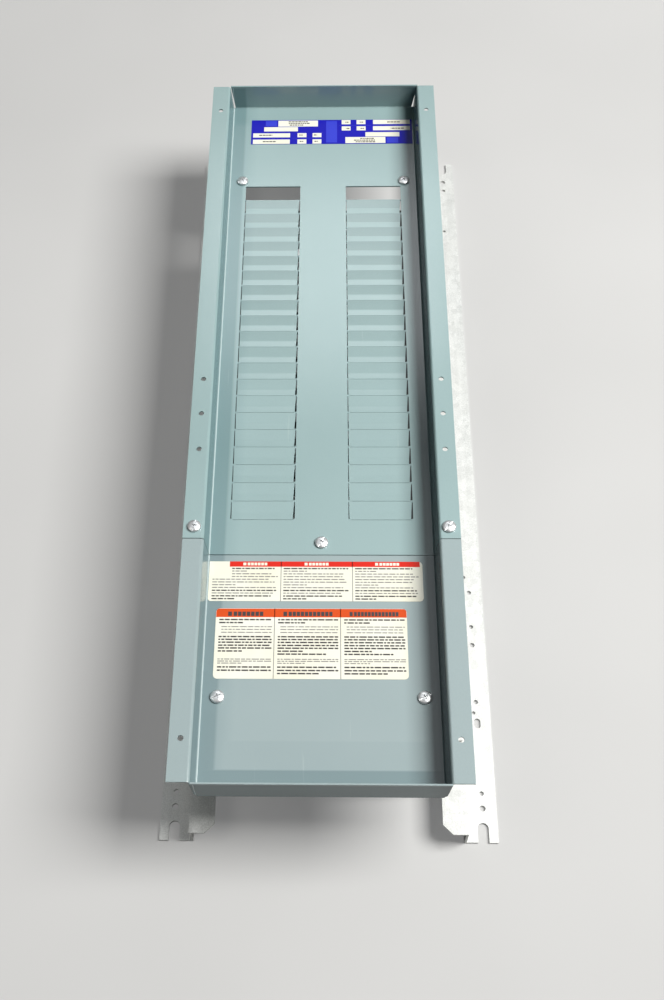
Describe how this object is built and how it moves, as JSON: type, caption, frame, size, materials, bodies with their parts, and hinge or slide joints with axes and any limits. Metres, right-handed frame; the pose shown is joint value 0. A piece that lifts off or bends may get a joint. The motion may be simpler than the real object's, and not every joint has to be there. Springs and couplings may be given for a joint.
{
  "type": "panelboard interior",
  "caption": "Panelboard interior: a blue-grey pan-shaped dead front with breaker twist-outs and a separate lower cover, screwed over a bus assembly on galvanised mounting rails.",
  "frame": {"origin": "centre of the underside of the mounting rails, which is the bottom centre of the object's box", "axes": "+X to the right seen from the front, +Y along the rails towards the nameplate end, +Z out of the front"},
  "size_m": [0.2806, 0.781, 0.1257],
  "materials": {
    "deadfront_paint": "blue-grey semi-gloss enamel on sheet steel",
    "galvanised_steel": "mill galvanised sheet steel",
    "zinc_screw": "bright zinc plate",
    "tinned_bus": "tin plated bar",
    "lug_aluminium": "extruded and machined",
    "black_moulding": "moulded thermoset",
    "nameplate_film": "blue printed film with white fields and no text",
    "label_film": "white printed film with a coloured band and no text"
  },
  "bodies": {
    "chassis": {"bracket_screw_1": "zinc_screw", "bracket_screw_2": "zinc_screw", "bracket_screw_3": "zinc_screw", "bracket_screw_4": "zinc_screw", "bracket_screw_5": "zinc_screw", "bracket_screw_6": "zinc_screw", "bracket_screw_7": "zinc_screw", "bracket_screw_8": "zinc_screw", "breaker_rail_left": "black_moulding", "breaker_rail_right": "black_moulding", "bus_bar_a": "tinned_bus", "bus_bar_b": "tinned_bus", "bus_bar_c": "tinned_bus", "bus_base_far": "black_moulding", "bus_base_mid": "black_moulding", "bus_base_near": "black_moulding", "cross_member_1": "galvanised_steel", "cross_member_2": "galvanised_steel", "cross_member_3": "galvanised_steel", "cross_member_4": "galvanised_steel", "cross_member_bolt_1": "zinc_screw", "cross_member_bolt_2": "zinc_screw", "cross_member_bolt_3": "zinc_screw", "cross_member_bolt_4": "zinc_screw", "cross_member_bolt_5": "zinc_screw", "cross_member_bolt_6": "zinc_screw", "cross_member_bolt_7": "zinc_screw", "cross_member_bolt_8": "zinc_screw", "far_bracket_left": "galvanised_steel", "far_bracket_right": "galvanised_steel", "flange_standoff_left": "galvanised_steel", "flange_standoff_right": "galvanised_steel", "main_lug_a": "lug_aluminium", "main_lug_b": "lug_aluminium", "main_lug_c": "lug_aluminium", "near_bracket_left": "galvanised_steel", "near_bracket_right": "galvanised_steel", "neutral_bar": "lug_aluminium", "neutral_insulator_far": "black_moulding", "neutral_insulator_near": "black_moulding", "rail_left": "galvanised_steel", "rail_right": "galvanised_steel", "seam_bracket": "galvanised_steel"},
    "deadfront": {"upper_deadfront": "deadfront_paint", "nameplate_label": "nameplate_film"},
    "gutter_cover": {"lower_cover": "deadfront_paint", "circuit_label": "label_film", "rating_label": "label_film"},
    "deadfront_screw_far_left": {"deadfront_screw_far_left": "zinc_screw"},
    "deadfront_screw_far_right": {"deadfront_screw_far_right": "zinc_screw"},
    "deadfront_screw_flange_left": {"deadfront_screw_flange_left": "zinc_screw"},
    "deadfront_screw_flange_right": {"deadfront_screw_flange_right": "zinc_screw"},
    "deadfront_screw_center": {"deadfront_screw_center": "zinc_screw"},
    "cover_screw_left": {"cover_screw_left": "zinc_screw"},
    "cover_screw_right": {"cover_screw_right": "zinc_screw"},
    "lug_screw_a": {"lug_screw_a": "zinc_screw"},
    "lug_screw_b": {"lug_screw_b": "zinc_screw"},
    "lug_screw_c": {"lug_screw_c": "zinc_screw"}
  },
  "joints": [
    {"name": "deadfront_lift", "type": "slide", "parent": "chassis", "child": "deadfront", "axis": [0, 0, 1], "range_m": [0, 0.15]},
    {"name": "gutter_cover_lift", "type": "slide", "parent": "chassis", "child": "gutter_cover", "axis": [0, 0, 1], "range_m": [0, 0.12]},
    {"name": "deadfront_screw_far_left_turn", "type": "hinge", "parent": "deadfront", "child": "deadfront_screw_far_left", "pos_m": [-0.0894, 0.2712, 0.0943], "axis": [0, 0, 1], "continuous": true},
    {"name": "deadfront_screw_far_right_turn", "type": "hinge", "parent": "deadfront", "child": "deadfront_screw_far_right", "pos_m": [0.077, 0.2712, 0.0943], "axis": [0, 0, 1], "continuous": true},
    {"name": "deadfront_screw_flange_left_turn", "type": "hinge", "parent": "deadfront", "child": "deadfront_screw_flange_left", "pos_m": [-0.1133, -0.16, 0.1228], "axis": [0, 0, 1], "continuous": true},
    {"name": "deadfront_screw_flange_right_turn", "type": "hinge", "parent": "deadfront", "child": "deadfront_screw_flange_right", "pos_m": [0.1009, -0.16, 0.1228], "axis": [0, 0, 1], "continuous": true},
    {"name": "deadfront_screw_center_turn", "type": "hinge", "parent": "deadfront", "child": "deadfront_screw_center", "pos_m": [-0.0062, -0.1594, 0.0943], "axis": [0, 0, 1], "continuous": true},
    {"name": "cover_screw_left_turn", "type": "hinge", "parent": "gutter_cover", "child": "cover_screw_left", "pos_m": [-0.0894, -0.3019, 0.0943], "axis": [0, 0, 1], "continuous": true},
    {"name": "cover_screw_right_turn", "type": "hinge", "parent": "gutter_cover", "child": "cover_screw_right", "pos_m": [0.077, -0.3019, 0.0943], "axis": [0, 0, 1], "continuous": true},
    {"name": "lug_screw_a_turn", "type": "hinge", "parent": "chassis", "child": "lug_screw_a", "pos_m": [-0.0482, -0.237, 0.0679], "axis": [0, 0, 1], "continuous": true},
    {"name": "lug_screw_b_turn", "type": "hinge", "parent": "chassis", "child": "lug_screw_b", "pos_m": [-0.0062, -0.237, 0.0679], "axis": [0, 0, 1], "continuous": true},
    {"name": "lug_screw_c_turn", "type": "hinge", "parent": "chassis", "child": "lug_screw_c", "pos_m": [0.0358, -0.237, 0.0679], "axis": [0, 0, 1], "continuous": true}
  ]
}
